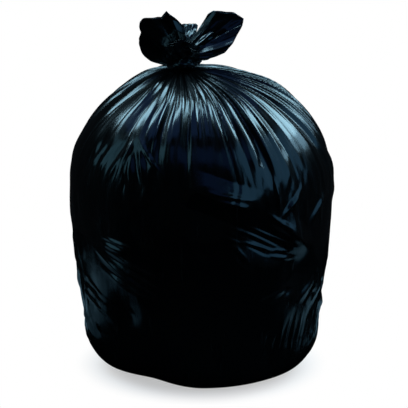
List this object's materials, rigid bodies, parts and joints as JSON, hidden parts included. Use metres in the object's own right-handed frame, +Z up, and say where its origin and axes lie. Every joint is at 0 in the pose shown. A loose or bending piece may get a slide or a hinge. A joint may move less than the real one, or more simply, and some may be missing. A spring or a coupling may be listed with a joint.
{
  "type": "filled bin bag tied in a knot",
  "caption": "Black plastic refuse sack, filled and standing, with a gathered, pleated shoulder, a knot of its own film and a ruffled tuft above it.",
  "frame": {"origin": "middle of the flat foot that the sack stands on", "axes": "+Z up, the front in the picture faces -Y, +X to the right as seen from the front"},
  "size_m": [0.4679, 0.4394, 0.6499],
  "materials": {
    "black_film": "thin glossy polyethylene film, black, crinkled"
  },
  "bodies": {
    "root": {"tied_refuse_sack": "black_film"}
  },
  "joints": []
}
